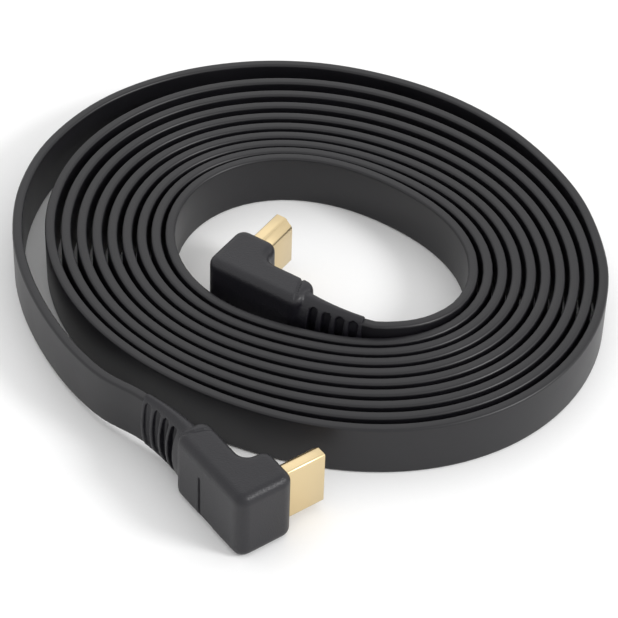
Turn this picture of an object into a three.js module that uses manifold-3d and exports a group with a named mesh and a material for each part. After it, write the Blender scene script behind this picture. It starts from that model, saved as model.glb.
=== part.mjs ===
// Flat HDMI cable with two right-angle plugs, coiled on edge
// Millimetres, +Z up. The cable stands on its narrow edge on the floor, wound in one
// oval spiral; the inner plug stands in the bore and the front plug lies outside it.

import * as THREE from 'three';
import { mergeVertices } from 'three/addons/utils/BufferGeometryUtils.js';
import Module from 'manifold-3d';

const wasm = await Module();
wasm.setup();

// Clearance between touching pieces
const SEAM = 0.3;

// Flat cable
const CABLE_WIDTH = 13;
const CABLE_THICKNESS = 2.3;
const CABLE_EDGE = 0.5;

// Coil: distance of the cable's middle from the coil's centre, at eight directions
// (0, 45, 90 ... degrees, counter-clockwise from +X) in its first, middle and last turn
const COIL_TURNS = 9;
const FIRST_TURN = [32.2, 27.5, 30.1, 36.0, 34.1, 27.7, 26.5, 32.9];
const MIDDLE_TURN = [46.9, 41.9, 43.3, 50.0, 48.9, 41.9, 40.9, 47.4];
const LAST_TURN = [61.7, 59.6, 63.5, 69.0, 64.7, 55.5, 56.3, 62.6];
const COIL_STEP = 10;
const GROOVE_DEPTH = 1.6;

// Loose stretches, as [direction in degrees, distance from the coil's centre, rise]
// The outer one leaves the coil's last turn and ends at the front plug's relief
const OUTER_RUN = [
  [18, 60.8, 0], [33, 60.5, 0], [48, 61.2, 0], [63, 62.4, 0], [78, 64.2, 0],
  [93, 66.9, 0], [108, 69.7, 0], [123, 72.3, 0], [138, 74.2, 0], [153, 74.3, 0.01],
  [166, 72.9, 0.03], [178, 70.7, 0.08], [188, 68.7, 0.2], [198, 66.9, 0.4], [208, 65.8, 0.7],
  [216, 65.4, 1.1], [223.5, 65.2, 1.7],
];
// The inner one leaves the inner plug's relief and runs into the coil's first turn
const INNER_RUN = [
  [301, 30.6, 2.0], [309, 31.9, 1.6], [317.5, 32.9, 1.15],
  [328, 33.7, 0.65], [339, 33.7, 0.25], [348, 33.2, 0.08], [355, 32.6, 0.02],
];
const RUN_STEP = 7;
const STRAIGHT_OUT = 2.5;

// Plug overmould: the cable comes out along +U, the metal shell along +V
const BODY_HEIGHT = 17.8;
const BODY_LENGTH = 24.7;
const BODY_THICKNESS = 8.2;
const BODY_ROUNDING = 2.1;
const ARM_LENGTH = 13.9;
const ARM_WIDTH = 10.5;
const ARM_CORNER = 2.6;
const COLLAR_LENGTH = 2.5;
const COLLAR_SLANT = 20;
const COLLAR_GROOVE = 0.7;
const COLLAR_GROOVE_DEPTH = 0.45;

// Strain relief, moulded in one with the body
const RELIEF_LENGTH = 13.8;
const RELIEF_ROOT = { thickness: 7.2, height: 16.4 };
const RELIEF_TIP = { thickness: 4.2, height: 15 };
const RELIEF_SIDES = 24;
const RELIEF_SLICES = 6;
const SLOT_COUNT = 4;
const SLOT_WIDTH = 1.5;
const SLOT_PITCH = 3.05;
const SLOT_START = 2.6;
const SLOT_DEPTH = 1.5;
const SLOT_SPINE = 2.0;

// Metal shell of the plug, a standard size; its wide face is on the outside of the L
const SHELL_WIDTH = 13.9;
const SHELL_THICKNESS = 4.45;
const SHELL_FULL_DEPTH = 2.75;
const SHELL_NARROW_WIDTH = 10.2;
const SHELL_STEP = 0.6;
const SHELL_WALL = 0.35;
const SHELL_REACH = 9.7;
const SHELL_EMBED = 3;
const SHELL_SETBACK = 3;

// Plastic contact carrier inside the shell, with the slot for the socket's tongue
const CARRIER_RECESS = 0.8;
const CARRIER_SLOT_WIDTH = 11.2;
const CARRIER_SLOT_THICKNESS = 1.7;
const CARRIER_SLOT_DEPTH = 7.5;

// Places of the two plugs' outer corners, measured from the coil's centre
const FRONT_PLUG = { corner: [-16.6, -84.2], heading: 127, bend: 14, flipped: true };
const INNER_PLUG = { corner: [-27.4, -10.4], heading: -32.5, bend: 14, flipped: false };

const rad = THREE.MathUtils.degToRad;

// Solids and booleans

function solidOf(geometry) {
  const bare = geometry.clone();
  bare.deleteAttribute('normal');
  bare.deleteAttribute('uv');
  const merged = mergeVertices(bare, 1e-4);
  return new wasm.Manifold(new wasm.Mesh({
    numProp: 3,
    vertProperties: new Float32Array(merged.attributes.position.array),
    triVerts: new Uint32Array(merged.index.array),
  }));
}

function geometryOf(solid) {
  const mesh = solid.getMesh();
  const geometry = new THREE.BufferGeometry();
  geometry.setAttribute('position', new THREE.BufferAttribute(new Float32Array(mesh.vertProperties), 3));
  geometry.setIndex(new THREE.BufferAttribute(new Uint32Array(mesh.triVerts), 1));
  const flat = geometry.toNonIndexed();
  flat.computeVertexNormals();
  return flat;
}

// Closed skin over equal rings of points, each ring convex, with flat ends
function loft(rings) {
  const count = rings[0].length;
  const corners = rings.flat().flatMap((p) => [p.x, p.y, p.z]);
  const faces = [];
  const last = (rings.length - 1) * count;
  for (let r = 0; r + 1 < rings.length; r += 1) {
    for (let i = 0; i < count; i += 1) {
      const j = (i + 1) % count;
      const a = r * count + i;
      const b = r * count + j;
      faces.push(a, b, b + count, a, b + count, a + count);
    }
  }
  for (let i = 1; i + 1 < count; i += 1) {
    faces.push(0, i + 1, i, last, last + i, last + i + 1);
  }
  const geometry = new THREE.BufferGeometry();
  geometry.setAttribute('position', new THREE.Float32BufferAttribute(corners, 3));
  geometry.setIndex(faces);
  return geometry;
}

// Rectangle with its corners rounded by short arcs, centred on the origin
function roundedRectangle(width, height, radius, arcSteps) {
  const points = [];
  const centres = [[1, 1, 0], [-1, 1, 90], [-1, -1, 180], [1, -1, 270]];
  for (const [sx, sy, start] of centres) {
    for (let i = 0; i <= arcSteps; i += 1) {
      const angle = rad(start + (90 * i) / arcSteps);
      points.push(new THREE.Vector2(
        sx * (width / 2 - radius) + radius * Math.cos(angle),
        sy * (height / 2 - radius) + radius * Math.sin(angle),
      ));
    }
  }
  return points;
}

function oval(width, height, sides) {
  return Array.from({ length: sides }, (_, i) => new THREE.Vector2(
    (width / 2) * Math.cos((2 * Math.PI * i) / sides),
    (height / 2) * Math.sin((2 * Math.PI * i) / sides),
  ));
}

function extruded(outline, depth, holes = []) {
  const shape = new THREE.Shape(outline);
  shape.holes = holes.map((hole) => new THREE.Path(hole));
  return new THREE.ExtrudeGeometry(shape, { depth, bevelEnabled: false });
}

// Spiral of the cable's middle line

// Smooth closed curve through eight values spread evenly round the coil
function around(values, degrees) {
  const count = values.length;
  let sum = 0;
  values.forEach((value, j) => {
    const angle = rad(degrees - (360 * j) / count);
    let weight = 1 + Math.cos((count / 2) * angle);
    for (let k = 1; k < count / 2; k += 1) {
      weight += 2 * Math.cos(k * angle);
    }
    sum += (value * weight) / count;
  });
  return sum;
}

function spiralRadius(turn) {
  const t = turn / COIL_TURNS;
  const degrees = 360 * turn;
  return around(FIRST_TURN, degrees) * (1 - t) * (1 - 2 * t)
    + around(MIDDLE_TURN, degrees) * 4 * t * (1 - t)
    + around(LAST_TURN, degrees) * t * (2 * t - 1);
}

function polar(degrees, distance, rise = 0) {
  const x = distance * Math.cos(rad(degrees));
  const y = distance * Math.sin(rad(degrees));
  return new THREE.Vector3(x, y, CABLE_WIDTH / 2 + rise);
}

// Place on the spiral after so many turns, and the direction in which it runs there
function spiralPlace(turn) {
  const here = polar(360 * turn, spiralRadius(turn));
  const ahead = polar(360 * turn + 0.1, spiralRadius(turn + 0.1 / 360));
  return { here, along: ahead.sub(here).normalize() };
}

// Line parallel to the spiral from one turn to another, to its outer side
function spiralLine(fromTurn, toTurn, offset) {
  const steps = Math.round((Math.abs(toTurn - fromTurn) * 360) / COIL_STEP);
  const points = [];
  for (let i = 0; i <= steps; i += 1) {
    const turn = fromTurn + ((toTurn - fromTurn) * i) / steps;
    const { here, along } = spiralPlace(turn);
    points.push(new THREE.Vector2(here.x + along.y * offset, here.y - along.x * offset));
  }
  return points;
}

// Cable

function coilGeometry() {
  const half = CABLE_THICKNESS / 2;
  const strip = extruded([
    ...spiralLine(0, COIL_TURNS, half),
    ...spiralLine(COIL_TURNS, 0, -half),
  ], CABLE_WIDTH);
  const rim = spiralLine(COIL_TURNS - 1, COIL_TURNS, 0);
  const bore = spiralLine(0, 1, 0);
  const core = extruded(rim, CABLE_WIDTH - 2 * GROOVE_DEPTH, [bore.reverse()]);
  core.translate(0, 0, GROOVE_DEPTH);
  return geometryOf(solidOf(strip).add(solidOf(core)));
}

// Flat cable swept along a smooth curve through the points. Where the sweep tilts its
// lower edge, the whole stretch is lifted by as much as that edge would sink.
function cableTube(points) {
  const curve = new THREE.CatmullRomCurve3(points, false, 'centripetal');
  const section = roundedRectangle(CABLE_WIDTH, CABLE_THICKNESS, CABLE_EDGE, 1);
  const steps = Math.ceil(curve.getLength() / RUN_STEP);
  const tube = new THREE.ExtrudeGeometry(new THREE.Shape(section), {
    steps, extrudePath: curve, bevelEnabled: false,
  });
  tube.computeBoundingBox();
  return tube.translate(0, 0, Math.max(0, -tube.boundingBox.min.z));
}

// Plug, in its own frame: outer corner at the origin, standing on the floor

const AXIS_V = BODY_THICKNESS / 2;
const AXIS_Z = BODY_HEIGHT / 2;
const SHELL_MIDDLE_U = SHELL_SETBACK + SHELL_THICKNESS / 2;

// Place and direction on the relief's middle line, at a share s of its length
function reliefAt(s, bend) {
  const turn = rad(bend * s);
  const arc = rad(bend) / RELIEF_LENGTH;
  const along = Math.abs(arc) < 1e-6 ? RELIEF_LENGTH * s : Math.sin(turn) / arc;
  const aside = Math.abs(arc) < 1e-6 ? 0 : (1 - Math.cos(turn)) / arc;
  return {
    u: BODY_LENGTH + along,
    v: AXIS_V + aside,
    turn,
    thickness: THREE.MathUtils.lerp(RELIEF_ROOT.thickness, RELIEF_TIP.thickness, s),
    height: THREE.MathUtils.lerp(RELIEF_ROOT.height, RELIEF_TIP.height, s),
  };
}

function reliefGeometry(bend) {
  const rings = [];
  for (let i = -1; i <= RELIEF_SLICES; i += 1) {
    const slice = reliefAt(i / RELIEF_SLICES, bend);
    const across = new THREE.Vector2(-Math.sin(slice.turn), Math.cos(slice.turn));
    const section = oval(slice.thickness, slice.height, RELIEF_SIDES);
    rings.push(section.map((p) => new THREE.Vector3(
      slice.u + across.x * p.x,
      slice.v + across.y * p.x,
      AXIS_Z + p.y,
    )));
  }
  return loft(rings);
}

// Outline of the L seen from above, its corners rounded and its inner corner filleted
function bodyOutline() {
  const inset = BODY_ROUNDING;
  const shape = new THREE.Shape();
  const left = inset;
  const right = ARM_WIDTH - inset;
  const end = BODY_LENGTH - inset;
  const top = ARM_LENGTH - inset;
  const wall = BODY_THICKNESS - inset;
  const corner = ARM_CORNER - inset;
  shape.moveTo(left + corner, inset);
  shape.lineTo(end, inset);
  shape.lineTo(end, wall);
  shape.lineTo(right + ARM_CORNER, wall);
  shape.absarc(right + ARM_CORNER, wall + ARM_CORNER, ARM_CORNER, -Math.PI / 2, -Math.PI, true);
  shape.lineTo(right, top - corner);
  shape.absarc(right - corner, top - corner, corner, 0, Math.PI / 2, false);
  shape.lineTo(left + corner, top);
  shape.absarc(left + corner, top - corner, corner, Math.PI / 2, Math.PI, false);
  shape.lineTo(left, inset + corner);
  shape.absarc(left + corner, inset + corner, corner, Math.PI, 1.5 * Math.PI, false);
  return shape;
}

function bodyGeometry() {
  const geometry = new THREE.ExtrudeGeometry(bodyOutline(), {
    depth: BODY_HEIGHT - 2 * BODY_ROUNDING,
    curveSegments: 4,
    bevelEnabled: true,
    bevelThickness: BODY_ROUNDING,
    bevelSize: BODY_ROUNDING,
    bevelSegments: 3,
  });
  geometry.translate(0, 0, BODY_ROUNDING);
  return geometry;
}

// Shell section grown by a margin: x runs across its thickness, y up its width
function shellSection(margin) {
  const half = SHELL_WIDTH / 2 + margin;
  const narrow = SHELL_NARROW_WIDTH / 2 + margin;
  const outer = -SHELL_THICKNESS / 2 - margin;
  const inner = SHELL_THICKNESS / 2 + margin;
  const ledge = outer + SHELL_FULL_DEPTH + 2 * margin;
  return [
    [outer, -half], [ledge, -half], [ledge + SHELL_STEP / 2, -half + SHELL_STEP],
    [inner, -narrow], [inner, narrow], [ledge + SHELL_STEP / 2, half - SHELL_STEP],
    [ledge, half], [outer, half],
  ].map(([x, y]) => new THREE.Vector2(x, y));
}

// Stands a section of the shell along +V, from one distance to another
function alongShell(geometry, start, length) {
  const placed = geometry.clone();
  placed.rotateX(Math.PI / 2);
  placed.translate(SHELL_MIDDLE_U, start + length, AXIS_Z);
  return placed;
}

const SHELL_START = ARM_LENGTH - SHELL_EMBED;
const SHELL_LENGTH = SHELL_EMBED + SHELL_REACH;

function shellGeometry() {
  const tube = extruded(shellSection(0), SHELL_LENGTH, [shellSection(-SHELL_WALL).reverse()]);
  return alongShell(tube, SHELL_START, SHELL_LENGTH);
}

function carrierGeometry() {
  const length = SHELL_LENGTH - CARRIER_RECESS;
  const block = alongShell(extruded(shellSection(-SHELL_WALL - SEAM), length), SHELL_START, length);
  const slot = new THREE.BoxGeometry(CARRIER_SLOT_THICKNESS, CARRIER_SLOT_DEPTH, CARRIER_SLOT_WIDTH);
  slot.translate(SHELL_MIDDLE_U, SHELL_START + length, AXIS_Z);
  slot.translate(0, (SEAM - CARRIER_SLOT_DEPTH) / 2, 0);
  return geometryOf(solidOf(block).subtract(solidOf(slot)));
}

// One slot of the relief on one of its wide faces
function slotGeometry(index, side, bend) {
  const s = (SLOT_START + index * SLOT_PITCH) / RELIEF_LENGTH;
  const slice = reliefAt(s, bend);
  const box = new THREE.BoxGeometry(SLOT_WIDTH, 2 * SLOT_DEPTH, slice.height - 2 * SLOT_SPINE);
  box.translate(0, (side * slice.thickness) / 2, 0);
  box.rotateZ(slice.turn);
  box.translate(slice.u, slice.v, AXIS_Z);
  return box;
}

// Shallow groove that sets the collar off from the body. It runs at a slant, so that the
// collar is longer on the side of the shell.
function collarGroove() {
  const middle = BODY_LENGTH - COLLAR_LENGTH;
  const reach = BODY_THICKNESS * Math.tan(rad(COLLAR_SLANT));
  const outside = new THREE.BoxGeometry(COLLAR_GROOVE, 2 * BODY_THICKNESS, 2 * BODY_HEIGHT);
  outside.rotateZ(rad(COLLAR_SLANT));
  outside.translate(middle, AXIS_V, AXIS_Z);
  const inside = new THREE.ExtrudeGeometry(
    new THREE.Shape(roundedRectangle(
      BODY_THICKNESS - 2 * COLLAR_GROOVE_DEPTH,
      BODY_HEIGHT - 2 * COLLAR_GROOVE_DEPTH,
      BODY_ROUNDING,
      3,
    )),
    { depth: 2 * reach, bevelEnabled: false },
  );
  inside.rotateY(Math.PI / 2);
  inside.rotateX(Math.PI / 2);
  inside.translate(middle - reach, AXIS_V, AXIS_Z);
  return solidOf(outside).subtract(solidOf(inside));
}

function overmouldGeometry(bend) {
  let solid = solidOf(bodyGeometry()).add(solidOf(reliefGeometry(bend)));
  solid = solid.subtract(collarGroove());
  const pocketLength = SHELL_EMBED + SEAM + ARM_LENGTH;
  const pocket = extruded(shellSection(SEAM), pocketLength);
  solid = solid.subtract(solidOf(alongShell(pocket, SHELL_START - SEAM, pocketLength)));
  for (let i = 0; i < SLOT_COUNT; i += 1) {
    for (const side of [-1, 1]) {
      solid = solid.subtract(solidOf(slotGeometry(i, side, bend)));
    }
  }
  return geometryOf(solid);
}

// Colours and finishes
const PVC = { color: 0x46464b, roughness: 0.5, metalness: 0 };
const MOULDED = { color: 0x3a3a3d, roughness: 0.6, metalness: 0 };
const GOLD = { color: 0xd9c49a, roughness: 0.3, metalness: 1 };
const CARRIER = { color: 0x161617, roughness: 0.6, metalness: 0 };

function named(name, geometry, finish) {
  const mesh = new THREE.Mesh(geometry, new THREE.MeshStandardMaterial(finish));
  mesh.name = name;
  return mesh;
}

// A plug turned and placed; a flipped one is rolled half a turn about its cable
function plugGroup(name, { corner, heading, bend, flipped }) {
  const group = new THREE.Group();
  const ownBend = flipped ? -bend : bend;
  group.add(
    named(`${name}_overmould`, overmouldGeometry(ownBend), MOULDED),
    named(`${name}_shell`, shellGeometry(), GOLD),
    named(`${name}_contact_carrier`, carrierGeometry(), CARRIER),
  );
  group.rotation.set(flipped ? Math.PI : 0, 0, rad(heading), 'ZYX');
  group.position.set(corner[0], corner[1], flipped ? BODY_HEIGHT : 0);
  return group;
}

// Where a plug's relief ends and the cable's end face meets it
function reliefEnd({ corner, heading, bend, flipped }) {
  const tip = reliefAt(1, flipped ? -bend : bend);
  const side = flipped ? -1 : 1;
  const along = new THREE.Vector2(Math.cos(rad(heading)), Math.sin(rad(heading)));
  const across = new THREE.Vector2(-along.y, along.x).multiplyScalar(side);
  const exit = rad(heading) + side * tip.turn;
  return {
    point: new THREE.Vector3(
      corner[0] + along.x * tip.u + across.x * tip.v,
      corner[1] + along.y * tip.u + across.y * tip.v,
      AXIS_Z,
    ),
    out: new THREE.Vector3(Math.cos(exit), Math.sin(exit), 0),
  };
}

// Assembly

const front = reliefEnd(FRONT_PLUG);
const inner = reliefEnd(INNER_PLUG);
const coilStart = spiralPlace(0);
const coilEnd = spiralPlace(COIL_TURNS);

const outerPoints = [
  coilEnd.here.addScaledVector(coilEnd.along, SEAM),
  ...OUTER_RUN.map((place) => polar(...place)),
  front.point.clone().addScaledVector(front.out, SEAM + STRAIGHT_OUT),
  front.point.clone().addScaledVector(front.out, SEAM),
];
const innerPoints = [
  inner.point.clone().addScaledVector(inner.out, SEAM),
  inner.point.clone().addScaledVector(inner.out, SEAM + STRAIGHT_OUT),
  ...INNER_RUN.map((place) => polar(...place)),
  coilStart.here.addScaledVector(coilStart.along, -SEAM),
];

const cable = new THREE.Group();
cable.add(
  named('cable_coil', coilGeometry(), PVC),
  named('cable_outer_run', cableTube(outerPoints), PVC),
  named('cable_inner_run', cableTube(innerPoints), PVC),
  plugGroup('front_plug', FRONT_PLUG),
  plugGroup('inner_plug', INNER_PLUG),
);

// The origin is on the floor, under the middle of the whole outline
cable.updateMatrixWorld(true);
const box = new THREE.Box3().setFromObject(cable, true);
const middle = box.getCenter(new THREE.Vector3());
cable.position.set(-middle.x, -middle.y, 0);

export default cable;
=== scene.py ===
"""Flat video cable with two right-angle plugs, coiled on edge.

Metres, +Z up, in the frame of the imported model. The flat cable is one ribbon from the inner
plug's strain relief, through the coil's nine turns, to the front plug's relief.
"""
import math

import bmesh
import bpy
from bpy.props import FloatProperty, FloatVectorProperty, IntProperty, PointerProperty
from mathutils import Matrix, Vector


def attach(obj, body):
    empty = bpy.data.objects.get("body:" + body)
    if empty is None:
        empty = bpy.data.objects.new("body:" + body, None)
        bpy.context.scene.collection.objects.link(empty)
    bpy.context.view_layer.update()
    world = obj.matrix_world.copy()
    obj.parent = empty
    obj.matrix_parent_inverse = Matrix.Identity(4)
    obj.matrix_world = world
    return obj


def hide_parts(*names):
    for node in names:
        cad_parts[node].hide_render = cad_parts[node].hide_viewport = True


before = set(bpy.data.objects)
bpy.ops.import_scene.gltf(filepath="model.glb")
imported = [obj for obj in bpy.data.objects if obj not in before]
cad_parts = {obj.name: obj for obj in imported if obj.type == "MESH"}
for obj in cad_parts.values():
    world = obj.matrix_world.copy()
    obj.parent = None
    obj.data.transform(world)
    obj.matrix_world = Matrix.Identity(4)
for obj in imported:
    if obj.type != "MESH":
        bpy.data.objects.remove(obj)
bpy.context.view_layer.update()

bl_info = {
    "name": "Flat video cable",
    "version": (1, 0, 0),
    "blender": (4, 5, 0),
    "location": "View3D > Sidebar > Flat cable",
    "description": "Models a coiled flat video cable with two right-angle plugs",
    "category": "Add Mesh",
}

MM = 0.001

# ---------------------------------------------------------------- sizes shared with the frame

# Origin of the coil's own polar coordinates, in the row frame
COIL_CENTRE = Vector((4.7231, 7.4275, 0)) * MM

# Distance of the cable's middle from the coil's centre at 0, 45, 90 ... degrees, in its
# first, middle and last turn, in millimetres
COIL_TURNS = 9
FIRST_TURN = (32.2, 27.5, 30.1, 36.0, 34.1, 27.7, 26.5, 32.9)
MIDDLE_TURN = (46.9, 41.9, 43.3, 50.0, 48.9, 41.9, 40.9, 47.4)
LAST_TURN = (61.7, 59.6, 63.5, 69.0, 64.7, 55.5, 56.3, 62.6)
COIL_STEP = 10
CABLE_WIDTH = 13.0

# Loose stretches: direction in degrees, distance and rise in millimetres
OUTER_RUN = (
    (18, 60.8, 0), (33, 60.5, 0), (48, 61.2, 0), (63, 62.4, 0), (78, 64.2, 0),
    (93, 66.9, 0), (108, 69.7, 0), (123, 72.3, 0), (138, 74.2, 0), (153, 74.3, 0.01),
    (166, 72.9, 0.03), (178, 70.7, 0.08), (188, 68.7, 0.2), (198, 66.9, 0.4),
    (208, 65.8, 0.7), (216, 65.4, 1.1), (223.5, 65.2, 1.7),
)
INNER_RUN = (
    (301, 30.6, 2.0), (309, 31.9, 1.6), (317.5, 32.9, 1.15), (328, 33.7, 0.65),
    (339, 33.7, 0.25), (348, 33.2, 0.08), (355, 32.6, 0.02),
)
# Straight stretch out of each relief, and the distance between points of the line
STRAIGHT_OUT = 2.5
LINE_SPACING = 2.6
# Facets on each rounded edge of the ribbon
CORNER_STEPS = 5

# Plug in its own frame, in millimetres: outer corner at the origin, the cable leaves along
# +X and the metal shell along +Y
BODY_HEIGHT = 17.8
BODY_LENGTH = 24.7
BODY_THICKNESS = 8.2
ARM_LENGTH = 13.9
ARM_WIDTH = 10.5
RELIEF_LENGTH = 13.8
RELIEF_ROOT = (7.2, 16.4)
RELIEF_TIP = (4.2, 15.0)
RELIEF_SLICES = 7
# Oval core left in the relief by its slots, and the slots' place and height
CORE_ROOT = (3.0, 14.4)
CORE_TIP = (2.4, 13.8)
SLOT_START = 2.7
SLOT_HEIGHT = 13.6
SLOT_TAPER = 1.0
# Groove between the body and the collar at its end
COLLAR_LENGTH = 2.5
COLLAR_SLANT = math.radians(20)
# Joint line on the front plug: along the body, across it, and the depths of its two legs
JOINT_X = (10.6, 14.6, 15.3)
JOINT_Z = (5.4, BODY_HEIGHT - 2.1, BODY_HEIGHT - 1)
JOINT_DEPTH = (0.7, 0.9)
# Axis of the relief, and middle of the shell, in the plug's own frame
AXIS_Y = BODY_THICKNESS / 2
AXIS_Z = BODY_HEIGHT / 2
# D-shaped section of the metal shell, and where it starts and ends
SHELL_WIDTH = 13.9
SHELL_THICKNESS = 4.45
SHELL_FULL_DEPTH = 2.75
SHELL_NARROW_WIDTH = 10.2
SHELL_STEP = 0.6
SHELL_WALL = 0.35
SHELL_SETBACK = 3.0
SHELL_EMBED = 3
SHELL_START = ARM_LENGTH - SHELL_EMBED
SHELL_END = ARM_LENGTH + 9.7
SEAM = 0.05
CARRIER_END = SHELL_END - 0.8
# Slot for the socket's tongue: its thickness, depth and width
CARRIER_SLOT = (1.7, 7.2, 11.2)
# Contacts: how many on each side, their pitch, how far they stand into the slot, where
# they end behind the carrier's face, and the length and depth of their lead-in
CONTACT_ROWS = ((-1, 10), (1, 9))
CONTACT_PITCH = 1
CONTACT_RISE = 0.25
CONTACT_BEHIND = 0.6
LEAD_IN = (1, 0.2)

# Both plugs: outer corner from the coil's centre, heading and bend in degrees
PLUGS = {
    "front_plug": {"corner": (-16.6, -84.2), "heading": 127, "bend": 14, "flipped": True},
    "inner_plug": {"corner": (-27.4, -10.4), "heading": -32.5, "bend": 14, "flipped": False},
}

# The photograph's camera; its lens is 2800 pixels of a 618 pixel frame, on a 36 mm sensor
VIEW_TARGET = Vector((0.7231, 0.9275, 0)) * MM
VIEW_ELEVATION = math.radians(43)
VIEW_ROLL = math.radians(2)
VIEW_LENS = 2800 / 618 * 36


# ---------------------------------------------------------------- settings

def length(name, description, default, **more):
    return FloatProperty(name=name, description=description, default=default * MM,
                         min=0, subtype="DISTANCE", unit="LENGTH", precision=5, **more)


def hex_colour(text):
    """sRGB hex to the linear colour that Blender's sockets take."""
    values = [int(text[i:i + 2], 16) / 255 for i in (1, 3, 5)]
    return tuple(v / 12.92 if v <= 0.04045 else ((v + 0.055) / 1.055) ** 2.4 for v in values)


def colour(name, description, default):
    return FloatVectorProperty(name=name, description=description, size=3, min=0, max=1,
                               default=hex_colour(default), subtype="COLOR")


class FlatCableSizes(bpy.types.PropertyGroup):
    width: length("Width", "Width of the flat cable", 13)
    thickness: length("Thickness", "Thickness of the flat cable", 2.3)
    edge: length("Edge radius", "Rounding of the cable's four long edges", 0.62)


class FlatCablePlugSizes(bpy.types.PropertyGroup):
    corner: length("Corner radius", "Rounding of the body's upright corners", 2.6)
    rounding: length("Edge radius", "Rounding of the body's top and bottom edges", 2.1)
    groove: length("Groove", "Width of the groove behind the collar", 0.6)
    groove_depth: length("Groove depth", "Depth of the groove behind the collar", 0.45)
    slot: length("Relief slot", "Width of the strain relief's slots", 2.0)
    slot_pitch: length("Slot pitch", "Distance from one relief slot to the next", 3.05)
    slots: IntProperty(name="Slots", description="Slots along the strain relief", default=4)
    grid: length("Moulding grid", "Size of the mesh that softens the moulding", 0.24)
    shell_bend: length("Shell bends", "Outer radius of the metal shell's bends", 0.5)
    contact: length("Contact width", "Width of one contact", 0.32)


class FlatCableFinish(bpy.types.PropertyGroup):
    jacket: colour("Jacket", "Soft PVC jacket of the cable", "#100f13")
    moulding: colour("Overmould", "Moulded PVC of the plugs", "#121117")
    gold: colour("Gold plate", "Gold plate of shells and contacts", "#e6c79c")
    carrier: colour("Contact carrier", "Plastic inside the shells", "#101011")


class FlatCableStage(bpy.types.PropertyGroup):
    floor: colour("Floor", "Plain pale floor", "#f4f4f4")
    distance: length("Camera distance", "From the camera to the middle of the coil", 636.4)
    surroundings: FloatProperty(name="Surroundings", description="Strength of the white room",
                                default=1.0, min=0)
    rear: FloatProperty(name="Rear light", description="Power of the rear softbox",
                            default=1, min=0, unit="POWER")
    side: FloatProperty(name="Side light", description="Power of the right-hand softbox",
                        default=9, min=0, unit="POWER")


# ---------------------------------------------------------------- mesh tools

def mm(*values):
    return Vector(values) * MM


def deselect():
    if bpy.context.object and bpy.context.object.mode != "OBJECT":
        bpy.ops.object.mode_set(mode="OBJECT")
    bpy.ops.object.select_all(action="DESELECT")


def activate(piece):
    deselect()
    piece.select_set(True)
    bpy.context.view_layer.objects.active = piece


def edit(piece):
    activate(piece)
    bpy.ops.object.mode_set(mode="EDIT")


def done():
    bpy.ops.object.mode_set(mode="OBJECT")


def pick(piece, kind, test):
    """Selects in edit mode the vertices, edges or faces that pass the test."""
    bpy.ops.mesh.select_mode(type=kind)
    bpy.ops.mesh.select_all(action="DESELECT")
    shape = bmesh.from_edit_mesh(piece.data)
    items = {"VERT": shape.verts, "EDGE": shape.edges, "FACE": shape.faces}[kind]
    for item in items:
        if test(item):
            item.select_set(True)
    shape.select_flush_mode()
    bmesh.update_edit_mesh(piece.data)


def cut(piece, point, normal):
    """Cuts a loop right round the piece with a plane."""
    bpy.ops.mesh.select_all(action="SELECT")
    bpy.ops.mesh.bisect(plane_co=point, plane_no=normal)


def outward():
    bpy.ops.mesh.select_all(action="SELECT")
    bpy.ops.mesh.normals_make_consistent(inside=False)


def block(name, low, high):
    """A box between two corners given in millimetres, as a start."""
    deselect()
    low, high = Vector(low) * MM, Vector(high) * MM
    bpy.ops.mesh.primitive_cube_add(size=1, location=(low + high) / 2)
    piece = bpy.context.object
    piece.name = piece.data.name = name
    piece.scale = high - low
    bpy.ops.object.transform_apply(location=True, rotation=True, scale=True)
    return piece


def modify(piece, kind, **settings):
    """Adds a modifier and applies it."""
    activate(piece)
    modifier = piece.modifiers.new(kind.lower(), kind)
    for key, value in settings.items():
        setattr(modifier, key, value)
    bpy.ops.object.modifier_apply(modifier=modifier.name)


def combine(piece, tool, operation):
    """Joins the tool to the piece, or cuts it out, and deletes the tool."""
    modify(piece, "BOOLEAN", object=tool, operation=operation, solver="EXACT")
    bpy.data.objects.remove(tool, do_unlink=True)


def smooth_shading(piece, degrees):
    activate(piece)
    bpy.ops.object.shade_smooth_by_angle(angle=math.radians(degrees))


def upright(edge):
    a, b = (v.co for v in edge.verts)
    return abs(a.x - b.x) + abs(a.y - b.y) < 1e-6 and abs(a.z - b.z) > 1e-6


def along_y(edge):
    a, b = (v.co for v in edge.verts)
    return abs(a.x - b.x) + abs(a.z - b.z) < 1e-6 and abs(a.y - b.y) > 1e-6


def plug_place(plug):
    """Matrix from a plug's own frame to the row frame."""
    height = BODY_HEIGHT if plug["flipped"] else 0
    corner = Vector((*plug["corner"], height)) * MM + COIL_CENTRE
    turn = Matrix.Rotation(math.radians(plug["heading"]), 4, "Z")
    roll = Matrix.Rotation(math.pi if plug["flipped"] else 0, 4, "X")
    return Matrix.Translation(corner) @ turn @ roll


def put(piece, plug):
    """Moves a piece made in a plug's own frame to its place, inside its mesh."""
    piece.matrix_world = plug_place(plug)
    activate(piece)
    bpy.ops.object.transform_apply(location=True, rotation=True, scale=True)


def finish_piece(piece, material, slot, *nodes):
    piece.data.materials.clear()
    piece.data.materials.append(material)
    if nodes:
        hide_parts(*nodes)
    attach(piece, "root")


# ---------------------------------------------------------------- cable's middle line

def around(values, degrees):
    """Smooth closed curve through eight values spread evenly round the coil."""
    count = len(values)
    total = 0
    for j, value in enumerate(values):
        angle = math.radians(degrees - 360 * j / count)
        weight = 1 + math.cos(count / 2 * angle)
        weight += sum(2 * math.cos(k * angle) for k in range(1, count // 2))
        total += value * weight / count
    return total


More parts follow.
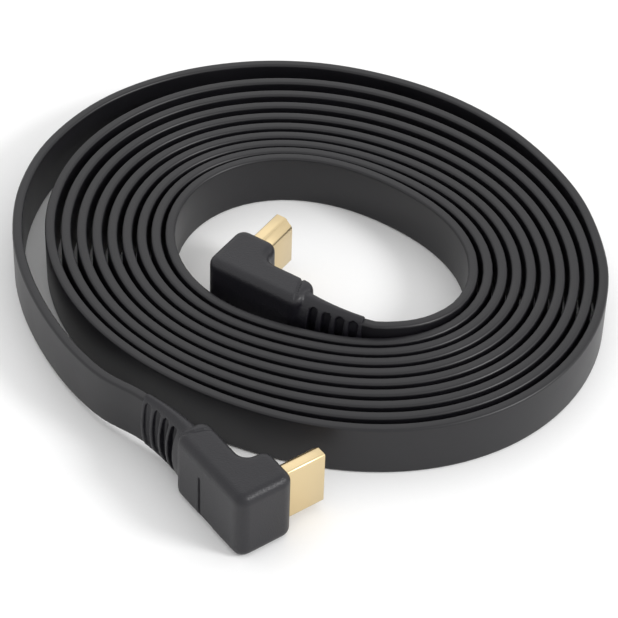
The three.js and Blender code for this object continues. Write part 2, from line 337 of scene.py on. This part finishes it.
def spiral_radius(turn):
    t = turn / COIL_TURNS
    degrees = 360 * turn
    return (around(FIRST_TURN, degrees) * (1 - t) * (1 - 2 * t)
            + around(MIDDLE_TURN, degrees) * 4 * t * (1 - t)
            + around(LAST_TURN, degrees) * t * (2 * t - 1))


def polar(degrees, distance, height):
    angle = math.radians(degrees)
    return mm(distance * math.cos(angle), distance * math.sin(angle), height) + COIL_CENTRE


def relief_place(share, bend):
    """Middle of the relief in the plug's frame at a share of its length, and its turn."""
    turn = math.radians(bend * share)
    arc = math.radians(bend) / RELIEF_LENGTH
    return (mm(BODY_LENGTH + math.sin(turn) / arc, AXIS_Y + (1 - math.cos(turn)) / arc, AXIS_Z),
            turn)


def own_bend(plug):
    return -plug["bend"] if plug["flipped"] else plug["bend"]


def relief_end(plug):
    """Point where the cable leaves a plug's relief and the direction in which it leaves."""
    place = plug_place(plug)
    point, turn = relief_place(1, own_bend(plug))
    out = place.to_3x3() @ Vector((math.cos(turn), math.sin(turn), 0))
    return place @ point, out


def smooth_line(points, spacing):
    """Centripetal Catmull-Rom line through the points, as the frame's tubes follow."""
    ends = [2 * points[0] - points[1], *points, 2 * points[-1] - points[-2]]
    line = [points[0]]
    for a, b, c, d in zip(ends, ends[1:], ends[2:], ends[3:]):
        k1 = (b - a).length ** 0.5
        k2 = k1 + (c - b).length ** 0.5
        k3 = k2 + (d - c).length ** 0.5
        steps = max(1, round((c - b).length / spacing))
        for i in range(1, steps + 1):
            t = k1 + (k2 - k1) * i / steps
            ab = a.lerp(b, t / k1)
            bc = b.lerp(c, (t - k1) / (k2 - k1))
            cd = c.lerp(d, (t - k2) / (k3 - k2))
            abc = ab.lerp(bc, t / k2)
            bcd = bc.lerp(cd, (t - k1) / (k3 - k1))
            line.append(abc.lerp(bcd, (t - k1) / (k2 - k1)))
    return line


def cable_line():
    """The whole cable's middle line, from inside one relief to inside the other."""
    inner, inner_out = relief_end(PLUGS["inner_plug"])
    front, front_out = relief_end(PLUGS["front_plug"])
    points = [inner - inner_out * MM, inner + inner_out * STRAIGHT_OUT * MM]
    points += [polar(a, r, CABLE_WIDTH / 2 + rise) for a, r, rise in INNER_RUN]
    for i in range(COIL_TURNS * 360 // COIL_STEP + 1):
        turn = i * COIL_STEP / 360
        points.append(polar(360 * turn, spiral_radius(turn), CABLE_WIDTH / 2))
    points += [polar(a, r, CABLE_WIDTH / 2 + rise) for a, r, rise in OUTER_RUN]
    points += [front + front_out * STRAIGHT_OUT * MM, front - front_out * MM]
    return smooth_line(points, LINE_SPACING * MM)


# ---------------------------------------------------------------- materials

def add(tree, kind, inputs=None, **settings):
    """Adds a node with its settings; an input is a value or another node's output."""
    made = tree.nodes.new(kind)
    for key, value in settings.items():
        setattr(made, key, value)
    for key, value in (inputs or {}).items():
        if isinstance(value, bpy.types.NodeSocket):
            tree.links.new(value, made.inputs[key])
        else:
            made.inputs[key].default_value = value
    return made


def new_material(name):
    material = bpy.data.materials.new(name)
    material.use_nodes = True
    tree = material.node_tree
    tree.nodes.clear()
    return material, tree


def close_material(tree, inputs):
    shader = add(tree, "ShaderNodeBsdfPrincipled", inputs)
    output = add(tree, "ShaderNodeOutputMaterial", {"Surface": shader.outputs["BSDF"]})
    return output


def shades(tree, factor, base, spread):
    """Colour that wanders a little darker and lighter than its base."""
    ramp = add(tree, "ShaderNodeValToRGB", {"Fac": factor})
    low, high = ramp.color_ramp.elements
    low.position, high.position = 0.3, 0.7
    low.color = (*(c * (1 - spread) for c in base), 1)
    high.color = (*(c * (1 + spread) for c in base), 1)
    return ramp.outputs["Color"]


def soft_pvc_jacket(base):
    """Plasticised PVC, extruded: a satin skin with faint die lines along the cable."""
    material, tree = new_material("soft_pvc_jacket")
    place = add(tree, "ShaderNodeTexCoord").outputs["Object"]
    flow = add(tree, "ShaderNodeUVMap", uv_map="along").outputs["UV"]
    # Clouding of the compound, patches about 12 mm across
    cloud = add(tree, "ShaderNodeTexNoise", {"Vector": place, "Scale": 80, "Detail": 3})
    # Die lines 0.3 mm apart and many centimetres long
    stretched = add(tree, "ShaderNodeMapping", {"Vector": flow, "Scale": (12, 3300, 1)})
    lines = add(tree, "ShaderNodeTexNoise", {"Vector": stretched.outputs["Vector"], "Scale": 1,
                                             "Detail": 2})
    # Orange peel of the cooled skin, about 0.5 mm
    peel = add(tree, "ShaderNodeTexNoise", {"Vector": place, "Scale": 2000, "Detail": 2})
    rough = add(tree, "ShaderNodeMapRange", {"Value": cloud.outputs["Fac"], "To Min": 0.36,
                                             "To Max": 0.46})
    line_bump = add(tree, "ShaderNodeBump", {"Height": lines.outputs["Fac"], "Strength": 0.25,
                                             "Distance": 0.00003})
    bump = add(tree, "ShaderNodeBump", {"Height": peel.outputs["Fac"], "Strength": 0.5,
                                        "Distance": 0.00003,
                                        "Normal": line_bump.outputs["Normal"]})
    close_material(tree, {
        "Base Color": shades(tree, cloud.outputs["Fac"], base, 0.12),
        "Roughness": rough.outputs["Result"], "IOR": 1.48, "Normal": bump.outputs["Normal"]})
    return material


def moulded_pvc(base):
    """Semi-rigid PVC, injection moulded in a spark-eroded tool: a fine even grain."""
    material, tree = new_material("moulded_pvc")
    place = add(tree, "ShaderNodeTexCoord").outputs["Object"]
    cloud = add(tree, "ShaderNodeTexNoise", {"Vector": place, "Scale": 120, "Detail": 3})
    # Grain of the tool, 0.1 mm in the real part and drawn at 0.35 mm so that it shows
    grain = add(tree, "ShaderNodeTexNoise", {"Vector": place, "Scale": 2900, "Detail": 2})
    rough = add(tree, "ShaderNodeMapRange", {"Value": grain.outputs["Fac"], "To Min": 0.34,
                                             "To Max": 0.5})
    bump = add(tree, "ShaderNodeBump", {"Height": grain.outputs["Fac"], "Strength": 0.8,
                                        "Distance": 0.0001})
    close_material(tree, {
        "Base Color": shades(tree, cloud.outputs["Fac"], base, 0.1),
        "Roughness": rough.outputs["Result"], "IOR": 1.48, "Normal": bump.outputs["Normal"]})
    return material


def gold_plate(base):
    """Gold flash over nickel on drawn steel sheet: bright satin with faint draw lines."""
    material, tree = new_material("gold_plate")
    place = add(tree, "ShaderNodeTexCoord").outputs["Object"]
    # Draw lines run upright, across the shell, about 0.15 mm apart
    streak = add(tree, "ShaderNodeMapping", {"Vector": place, "Scale": (6000, 6000, 250)})
    lines = add(tree, "ShaderNodeTexNoise", {"Vector": streak.outputs["Vector"], "Scale": 1,
                                             "Detail": 2})
    cloud = add(tree, "ShaderNodeTexNoise", {"Vector": place, "Scale": 300, "Detail": 2})
    rough = add(tree, "ShaderNodeMapRange", {"Value": cloud.outputs["Fac"], "To Min": 0.24,
                                             "To Max": 0.34})
    bump = add(tree, "ShaderNodeBump", {"Height": lines.outputs["Fac"], "Strength": 0.15,
                                        "Distance": 0.00002})
    close_material(tree, {
        "Base Color": shades(tree, cloud.outputs["Fac"], base, 0.04),
        "Metallic": 1, "Roughness": rough.outputs["Result"],
        "Normal": bump.outputs["Normal"]})
    return material


def carrier_plastic(base):
    """Glass-filled liquid crystal polymer, moulded: dull black with fine flow marks."""
    material, tree = new_material("carrier_plastic")
    place = add(tree, "ShaderNodeTexCoord").outputs["Object"]
    flow = add(tree, "ShaderNodeTexNoise", {"Vector": place, "Scale": 1500, "Detail": 3})
    rough = add(tree, "ShaderNodeMapRange", {"Value": flow.outputs["Fac"], "To Min": 0.5,
                                             "To Max": 0.7})
    bump = add(tree, "ShaderNodeBump", {"Height": flow.outputs["Fac"], "Strength": 0.3,
                                        "Distance": 0.00003})
    close_material(tree, {
        "Base Color": shades(tree, flow.outputs["Fac"], base, 0.15),
        "Roughness": rough.outputs["Result"], "IOR": 1.65, "Normal": bump.outputs["Normal"]})
    return material


def matt_paper(base):
    """Matt paper of the studio floor."""
    material, tree = new_material("floor_paper")
    place = add(tree, "ShaderNodeTexCoord").outputs["Object"]
    fibre = add(tree, "ShaderNodeTexNoise", {"Vector": place, "Scale": 900, "Detail": 2})
    close_material(tree, {
        "Base Color": shades(tree, fibre.outputs["Fac"], base, 0.004), "Roughness": 0.9})
    return material


def material(maker, base):
    """The material of that finish, made once."""
    return bpy.data.materials.get(maker.__name__) or maker(base)


# ---------------------------------------------------------------- pieces

def ribbon(name, line, sizes):
    """Flat cable standing on edge along a line, with rounded edges and closed ends."""
    half = sizes.thickness / 2 - sizes.edge, sizes.width / 2 - sizes.edge
    section = []
    for sx, sz, start in ((1, 1, 0), (-1, 1, 90), (-1, -1, 180), (1, -1, 270)):
        for i in range(CORNER_STEPS + 1):
            angle = math.radians(start + 90 / CORNER_STEPS * i)
            section.append((sx * half[0] + sizes.edge * math.cos(angle),
                            sz * half[1] + sizes.edge * math.sin(angle)))
    count = len(section)
    corners, run = [], [0.0]
    for i, here in enumerate(line):
        ahead = line[min(i + 1, len(line) - 1)] - line[max(i - 1, 0)]
        side = Vector((ahead.y, -ahead.x, 0)).normalized()
        corners += [here + side * x + Vector((0, 0, z)) for x, z in section]
        if i:
            run.append(run[-1] + (here - line[i - 1]).length)
    faces, places = [], []
    rim = [0.0]
    for i in range(count):
        a, b = section[i], section[(i + 1) % count]
        rim.append(rim[-1] + math.dist(a, b))
    for r in range(len(line) - 1):
        for i in range(count):
            j = (i + 1) % count
            faces.append((r * count + i, r * count + j, (r + 1) * count + j, (r + 1) * count + i))
            places += [(run[r], rim[i]), (run[r], rim[i + 1]),
                       (run[r + 1], rim[i + 1]), (run[r + 1], rim[i])]
    last = (len(line) - 1) * count
    faces += [tuple(reversed(range(count))), tuple(range(last, last + count))]
    places += [(0, 0)] * count + [(run[-1], 0)] * count
    mesh = bpy.data.meshes.new(name)
    mesh.from_pydata([tuple(c) for c in corners], [], faces)
    layer = mesh.uv_layers.new(name="along")
    for loop, place in zip(layer.data, places):
        loop.uv = place
    piece = bpy.data.objects.new(name, mesh)
    bpy.context.scene.collection.objects.link(piece)
    edit(piece)
    outward()
    done()
    smooth_shading(piece, 40)
    return piece


def moulding_body(sizes):
    """L-shaped body: a box, its arm extruded, then its corners and edges rounded."""
    body = block("body", (0, 0, 0), (BODY_LENGTH, BODY_THICKNESS, BODY_HEIGHT))
    edit(body)
    cut(body, mm(ARM_WIDTH, 0, 0), (1, 0, 0))
    pick(body, "FACE", lambda f: f.normal.y > 0.9
         and f.calc_center_median().x < ARM_WIDTH * MM)
    bpy.ops.mesh.extrude_region_move(
        TRANSFORM_OT_translate={"value": mm(0, ARM_LENGTH - BODY_THICKNESS, 0)})
    bpy.ops.mesh.select_all(action="SELECT")
    bpy.ops.mesh.dissolve_limited(angle_limit=math.radians(1))
    outward()
    pick(body, "EDGE", upright)
    bpy.ops.mesh.bevel(offset=sizes.corner, segments=6, affect="EDGES")
    pick(body, "EDGE", lambda e: all(v.co.z < 1e-6 for v in e.verts)
         or all(v.co.z > BODY_HEIGHT * MM - 1e-6 for v in e.verts))
    bpy.ops.mesh.bevel(offset=sizes.rounding, segments=6, affect="EDGES")
    done()
    return body


def relief_tube(name, bend, root, tip, slices):
    """Oval tube that narrows and bends: a disc extruded slice by slice."""
    deselect()
    start = mm(BODY_LENGTH - 1.5, AXIS_Y, AXIS_Z)
    bpy.ops.mesh.primitive_circle_add(vertices=64, radius=0.5, fill_type="NGON", location=start,
                                      rotation=(0, math.pi / 2, 0))
    tube = bpy.context.object
    tube.name = name
    bpy.ops.object.transform_apply(location=True, rotation=True, scale=True)
    edit(tube)
    bpy.ops.mesh.select_all(action="SELECT")
    bpy.ops.transform.resize(value=(1, root[0] * MM, root[1] * MM), center_override=start)
    here, size, heading = start, root, 0.0
    for i in range(slices + 1):
        share = i / slices
        there, turn = relief_place(share, bend)
        wanted = [a + (b - a) * share for a, b in zip(root, tip)]
        bpy.ops.mesh.extrude_region_move(TRANSFORM_OT_translate={"value": there - here})
        if i:
            # Turned back to square, resized, and turned to the new heading
            bpy.ops.transform.rotate(value=heading, orient_axis="Z", center_override=there)
            bpy.ops.transform.resize(value=(1, wanted[0] / size[0], wanted[1] / size[1]),
                                     center_override=there)
            bpy.ops.transform.rotate(value=-turn, orient_axis="Z", center_override=there)
        here, size, heading = there, wanted, turn
    outward()
    done()
    return tube


def relief(bend, sizes):
    """Strain relief: an oval sleeve cut by slots down to an oval core."""
    sleeve = relief_tube("sleeve", bend, RELIEF_ROOT, RELIEF_TIP, RELIEF_SLICES)
    for i in range(sizes.slots):
        share = (SLOT_START + i * sizes.slot_pitch / MM) / RELIEF_LENGTH
        place, turn = relief_place(share, bend)
        half = sizes.slot / MM / 2
        height = SLOT_HEIGHT - SLOT_TAPER * share
        slot = block("slot", (-half, -5, -height / 2), (half, 5, height / 2))
        edit(slot)
        pick(slot, "EDGE", along_y)
        bpy.ops.mesh.bevel(offset=half * 0.8 * MM, segments=4, affect="EDGES")
        done()
        slot.matrix_world = Matrix.Translation(place) @ Matrix.Rotation(turn, 4, "Z")
        activate(slot)
        bpy.ops.object.transform_apply(location=True, rotation=True, scale=True)
        combine(sleeve, slot, "DIFFERENCE")
    core = relief_tube("core", bend, CORE_ROOT, CORE_TIP, RELIEF_SLICES)
    combine(sleeve, core, "UNION")
    return sleeve


def collar_groove(sizes):
    """Ring that cuts the shallow groove between the body and its collar, at a slant."""
    middle = BODY_LENGTH - COLLAR_LENGTH
    half = sizes.groove / MM / 2
    ring = block("ring", (-half, -BODY_THICKNESS, -2), (half, BODY_THICKNESS, BODY_HEIGHT + 2))
    ring.matrix_world = (Matrix.Translation(mm(middle, AXIS_Y, 0))
                         @ Matrix.Rotation(COLLAR_SLANT, 4, "Z"))
    activate(ring)
    bpy.ops.object.transform_apply(location=True, rotation=True, scale=True)
    reach = BODY_THICKNESS * math.tan(COLLAR_SLANT)
    depth = sizes.groove_depth / MM
    inside = block("inside", (middle - reach, depth, depth),
                   (middle + reach, BODY_THICKNESS - depth, BODY_HEIGHT - depth))
    edit(inside)
    pick(inside, "EDGE", lambda e: abs(e.verts[0].co.x - e.verts[1].co.x) > 1e-6)
    bpy.ops.mesh.bevel(offset=sizes.rounding - sizes.groove_depth, segments=6, affect="EDGES")
    done()
    combine(ring, inside, "DIFFERENCE")
    return ring


def joint_line():
    """Fine L-shaped joint line on the outer face of the front plug, as a cutter."""
    foot_x, leg_x, end_x = JOINT_X
    leg_z, foot_z, end_z = JOINT_Z
    leg_depth, foot_depth = JOINT_DEPTH
    leg = block("joint_line", (leg_x, -1, leg_z), (end_x, leg_depth, end_z))
    foot = block("foot", (foot_x, -1, foot_z), (end_x, foot_depth, end_z))
    combine(leg, foot, "UNION")
    return leg


def shell_block(name, margin, start, end, bend):
    """Solid with the standard D-shaped section of the shell, grown by a margin."""
    centre_z = AXIS_Z * MM
    half = SHELL_WIDTH / 2 + margin
    outer = SHELL_SETBACK - margin
    inner = SHELL_SETBACK + SHELL_THICKNESS + margin
    ledge = SHELL_SETBACK + SHELL_FULL_DEPTH + margin
    piece = block(name, (outer, start, AXIS_Z - half), (inner, end, AXIS_Z + half))
    edit(piece)
    cut(piece, mm(ledge, 0, 0), (1, 0, 0))
    cut(piece, mm(ledge + SHELL_STEP / 2, 0, 0), (1, 0, 0))
    for x, width in ((ledge + SHELL_STEP / 2, half - SHELL_STEP),
                     (inner, SHELL_NARROW_WIDTH / 2 + margin)):
        pick(piece, "VERT", lambda v, x=x: abs(v.co.x - x * MM) < 1e-6)
        bpy.ops.transform.resize(value=(1, 1, width / half),
                                 center_override=(0, 0, centre_z))
    if bend:
        pick(piece, "EDGE", along_y)
        bpy.ops.mesh.bevel(offset=bend, segments=4, affect="EDGES")
    outward()
    done()
    return piece


def moulding(name, plug, sizes):
    """Overmould of one plug, made in the plug's own frame."""
    bend = own_bend(plug)
    piece = moulding_body(sizes)
    combine(piece, collar_groove(sizes), "DIFFERENCE")
    combine(piece, relief(bend, sizes), "UNION")
    if plug["flipped"]:
        combine(piece, joint_line(), "DIFFERENCE")
    modify(piece, "REMESH", mode="VOXEL", voxel_size=sizes.grid)
    modify(piece, "SMOOTH", factor=0.5, iterations=5)
    pocket = shell_block("pocket", SEAM, SHELL_START - SEAM, ARM_LENGTH + SHELL_EMBED,
                         sizes.shell_bend)
    combine(piece, pocket, "DIFFERENCE")
    piece.name = piece.data.name = name
    put(piece, plug)
    smooth_shading(piece, 50)
    return piece


def metal_shell(name, plug, sizes):
    """Drawn sheet shell: the D section, its bends rounded, its ends opened, made a wall."""
    piece = shell_block(name, 0, SHELL_START, SHELL_END, sizes.shell_bend)
    edit(piece)
    pick(piece, "FACE", lambda f: abs(f.normal.y) > 0.9)
    bpy.ops.mesh.delete(type="FACE")
    done()
    modify(piece, "SOLIDIFY", thickness=SHELL_WALL * MM, offset=-1)
    modify(piece, "BEVEL", width=0.1 * MM, segments=2, limit_method="ANGLE",
           angle_limit=math.radians(60))
    put(piece, plug)
    smooth_shading(piece, 35)
    return piece


def contact_carrier(name, plug, sizes):
    """Plastic block inside the shell, with the slot for the socket's tongue."""
    piece = shell_block(name, -SHELL_WALL - SEAM, SHELL_START, CARRIER_END,
                        sizes.shell_bend / 2)
    middle = SHELL_SETBACK + SHELL_THICKNESS / 2
    thick, deep, wide = CARRIER_SLOT
    slot = block("slot", (middle - thick / 2, CARRIER_END - deep, AXIS_Z - wide / 2),
                 (middle + thick / 2, CARRIER_END + 1, AXIS_Z + wide / 2))
    combine(piece, slot, "DIFFERENCE")
    modify(piece, "BEVEL", width=0.12 * MM, segments=2, limit_method="ANGLE",
           angle_limit=math.radians(50))
    put(piece, plug)
    smooth_shading(piece, 35)
    return piece


def contacts(name, plug, sizes):
    """Nineteen contacts, ten on one side of the slot and nine on the other."""
    middle = SHELL_SETBACK + SHELL_THICKNESS / 2
    thick, deep, _ = CARRIER_SLOT
    half = sizes.contact / MM / 2
    tip = CARRIER_END - CONTACT_BEHIND
    strips = []
    for side, count in CONTACT_ROWS:
        face = middle + side * thick / 2
        for i in range(count):
            z = AXIS_Z + (i - (count - 1) / 2) * CONTACT_PITCH
            low = min(face, face - side * CONTACT_RISE), CARRIER_END - deep, z - half
            high = max(face, face - side * CONTACT_RISE), tip, z + half
            strip = block("strip", low, high)
            edit(strip)
            # The tip is drawn back to the wall as a lead-in
            cut(strip, mm(0, tip - LEAD_IN[0], 0), (0, 1, 0))
            pick(strip, "VERT", lambda v, f=face: v.co.y > (tip - 0.01) * MM
                 and abs(v.co.x - f * MM) > 1e-5)
            bpy.ops.transform.translate(value=mm(side * LEAD_IN[1], 0, 0))
            pick(strip, "EDGE", lambda e, f=face: all(abs(v.co.x - f * MM) > 1e-5
                                                      for v in e.verts))
            bpy.ops.mesh.bevel(offset=0.05 * MM, segments=2, affect="EDGES")
            done()
            strips.append(strip)
    deselect()
    for strip in strips:
        strip.select_set(True)
    bpy.context.view_layer.objects.active = strips[0]
    bpy.ops.object.join()
    piece = bpy.context.object
    piece.name = piece.data.name = name
    put(piece, plug)
    smooth_shading(piece, 35)
    return piece


# ---------------------------------------------------------------- operators

class FlatCableOperator:
    bl_options = {"REGISTER", "UNDO"}

    def execute(self, context):
        self.make(context.scene)
        return {"FINISHED"}


class FLATCABLE_OT_stage(FlatCableOperator, bpy.types.Operator):
    """Sets the camera, the pale floor, the white room and the softboxes"""
    bl_idname = "flatcable.stage"
    bl_label = "Set the stage"

    def make(self, scene):
        settings = scene.flatcable_stage
        self.camera(scene, settings)
        self.floor(settings)
        self.lights(scene, settings)

    def camera(self, scene, settings):
        forward = Vector((0, math.cos(VIEW_ELEVATION), -math.sin(VIEW_ELEVATION)))
        level_up = Vector((0, math.sin(VIEW_ELEVATION), math.cos(VIEW_ELEVATION)))
        level_right = Vector((1, 0, 0))
        right = level_right * math.cos(VIEW_ROLL) + level_up * math.sin(VIEW_ROLL)
        up = level_up * math.cos(VIEW_ROLL) - level_right * math.sin(VIEW_ROLL)
        lens = bpy.data.cameras.new("photo_camera")
        lens.lens = VIEW_LENS
        lens.sensor_width = 36
        lens.clip_start = 0.01
        camera = bpy.data.objects.new("photo_camera", lens)
        scene.collection.objects.link(camera)
        turn = Matrix((right, up, -forward)).transposed().to_4x4()
        camera.matrix_world = Matrix.Translation(
            VIEW_TARGET - forward * settings.distance) @ turn
        scene.camera = camera

    def floor(self, settings):
        deselect()
        bpy.ops.mesh.primitive_circle_add(vertices=96, radius=4, fill_type="NGON",
                                          location=(0, 0, -0.00005))
        floor = bpy.context.object
        floor.name = floor.data.name = "studio_floor"
        bpy.ops.object.transform_apply(location=True, rotation=True, scale=True)
        floor.data.materials.append(material(matt_paper, settings.floor))

    def lights(self, scene, settings):
        world = bpy.data.worlds.new("white_room")
        world.use_nodes = True
        ground = world.node_tree.nodes["Background"]
        ground.inputs["Color"].default_value = (1, 1, 1, 1)
        ground.inputs["Strength"].default_value = settings.surroundings
        scene.world = world
        # The paper stays as white as it was lit
        scene.view_settings.view_transform = "Standard"
        for name, place, size, power in (
            ("rear_softbox", (-0.1, 0.9, 1.0), 0.9, settings.rear),
            ("right_softbox", (1.05, -0.4, 0.8), 0.4, settings.side),
        ):
            lamp = bpy.data.lights.new(name, "AREA")
            lamp.shape = "DISK"
            lamp.size = size
            lamp.energy = power
            light = bpy.data.objects.new(name, lamp)
            scene.collection.objects.link(light)
            light.location = place
            light.rotation_euler = Vector(place).to_track_quat("Z", "Y").to_euler()


class FLATCABLE_OT_cable(FlatCableOperator, bpy.types.Operator):
    """Winds the flat cable from plug to plug"""
    bl_idname = "flatcable.cable"
    bl_label = "Flat cable"

    def make(self, scene):
        sizes = scene.flatcable_sizes
        line = cable_line()
        piece = ribbon("flat_cable", line, sizes)
        finish_piece(piece, material(soft_pvc_jacket, scene.flatcable_finish.jacket),
                     "cable_jacket", "cable_coil", "cable_outer_run", "cable_inner_run")
        piece["line_length"] = sum((b - a).length for a, b in zip(line, line[1:]))


class FLATCABLE_OT_mouldings(FlatCableOperator, bpy.types.Operator):
    """Moulds the body, collar and strain relief of both plugs"""
    bl_idname = "flatcable.mouldings"
    bl_label = "Plug overmoulds"

    def make(self, scene):
        for name, plug in PLUGS.items():
            piece = moulding(f"{name}_moulding", plug, scene.flatcable_plug)
            finish_piece(piece, material(moulded_pvc, scene.flatcable_finish.moulding),
                         "overmould", f"{name}_overmould")


class FLATCABLE_OT_shells(FlatCableOperator, bpy.types.Operator):
    """Draws the gold plated shell of both plugs"""
    bl_idname = "flatcable.shells"
    bl_label = "Metal shells"

    def make(self, scene):
        for name, plug in PLUGS.items():
            piece = metal_shell(f"{name}_metal_shell", plug, scene.flatcable_plug)
            finish_piece(piece, material(gold_plate, scene.flatcable_finish.gold),
                         "gold_plate", f"{name}_shell")


class FLATCABLE_OT_carriers(FlatCableOperator, bpy.types.Operator):
    """Moulds the contact carriers inside the shells"""
    bl_idname = "flatcable.carriers"
    bl_label = "Contact carriers"

    def make(self, scene):
        for name, plug in PLUGS.items():
            piece = contact_carrier(f"{name}_carrier", plug, scene.flatcable_plug)
            finish_piece(piece, material(carrier_plastic, scene.flatcable_finish.carrier),
                         "contact_carrier", f"{name}_contact_carrier")


class FLATCABLE_OT_contacts(FlatCableOperator, bpy.types.Operator):
    """Sets nineteen contacts in the slot of each carrier"""
    bl_idname = "flatcable.contacts"
    bl_label = "Contacts"

    def make(self, scene):
        for name, plug in PLUGS.items():
            piece = contacts(f"{name}_contacts", plug, scene.flatcable_plug)
            finish_piece(piece, material(gold_plate, scene.flatcable_finish.gold),
                         "gold_plate")


class FLATCABLE_OT_declare(FlatCableOperator, bpy.types.Operator):
    """Works out the cable's middle line once more, and keeps nothing of it"""
    bl_idname = "flatcable.declare"
    bl_label = "Declare the cable"

    def make(self, scene):
        line = cable_line()


class FLATCABLE_PT_panel(bpy.types.Panel):
    """Sizes, finishes and pieces of the cable"""
    bl_idname = "FLATCABLE_PT_panel"
    bl_label = "Flat video cable"
    bl_space_type = "VIEW_3D"
    bl_region_type = "UI"
    bl_category = "Flat cable"

    def draw(self, context):
        for title, group in GROUPS.items():
            box = self.layout.box()
            box.label(text=title)
            settings = getattr(context.scene, group[0])
            for key in settings.__annotations__:
                box.prop(settings, key)
        for maker in OPERATORS:
            self.layout.operator(maker.bl_idname)


GROUPS = {
    "Cable": ("flatcable_sizes", FlatCableSizes),
    "Plugs": ("flatcable_plug", FlatCablePlugSizes),
    "Finish": ("flatcable_finish", FlatCableFinish),
    "Stage": ("flatcable_stage", FlatCableStage),
}
OPERATORS = (
    FLATCABLE_OT_stage, FLATCABLE_OT_cable, FLATCABLE_OT_mouldings, FLATCABLE_OT_shells,
    FLATCABLE_OT_carriers, FLATCABLE_OT_contacts, FLATCABLE_OT_declare,
)


def register():
    for name, group in GROUPS.values():
        bpy.utils.register_class(group)
        setattr(bpy.types.Scene, name, PointerProperty(type=group))
    for maker in (*OPERATORS, FLATCABLE_PT_panel):
        bpy.utils.register_class(maker)


def unregister():
    for maker in (FLATCABLE_PT_panel, *reversed(OPERATORS)):
        bpy.utils.unregister_class(maker)
    for name, group in GROUPS.values():
        delattr(bpy.types.Scene, name)
        bpy.utils.unregister_class(group)


def main():
    register()
    bpy.ops.flatcable.stage()
    bpy.ops.flatcable.cable()
    bpy.ops.flatcable.mouldings()
    bpy.ops.flatcable.shells()
    bpy.ops.flatcable.carriers()
    bpy.ops.flatcable.contacts()
    bpy.ops.flatcable.declare()
    deselect()


if __name__ == "__main__":
    main()
